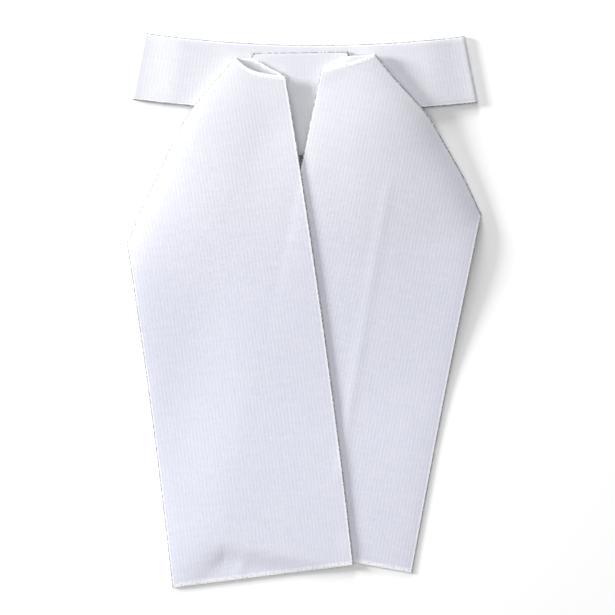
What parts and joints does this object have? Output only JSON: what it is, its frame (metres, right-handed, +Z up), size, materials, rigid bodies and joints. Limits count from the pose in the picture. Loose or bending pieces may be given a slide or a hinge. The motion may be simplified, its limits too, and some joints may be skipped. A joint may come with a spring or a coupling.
{
  "type": "cravat",
  "caption": "White ribbed cloth cravat laid flat: neckband pressed flat, small centre panel, and two wide tails rolled under at their outer top corners, one tail over the other.",
  "frame": {"origin": "middle of the laid-out cravat on the surface that it lies on", "axes": "+Y from the hems of the tails towards the neckband, +X towards the tail that lies beneath, +Z up from the surface"},
  "size_m": [0.2082, 0.3262, 0.0129],
  "materials": {
    "white_cloth": "matt ribbed weave with a faint sheen",
    "fastener_cloth": "short white hook and loop pile"
  },
  "bodies": {
    "root": {"neckband": "white_cloth", "neckband_fastener": "fastener_cloth", "centre_panel": "white_cloth", "right_tail": "white_cloth", "left_tail": "white_cloth"}
  },
  "joints": []
}
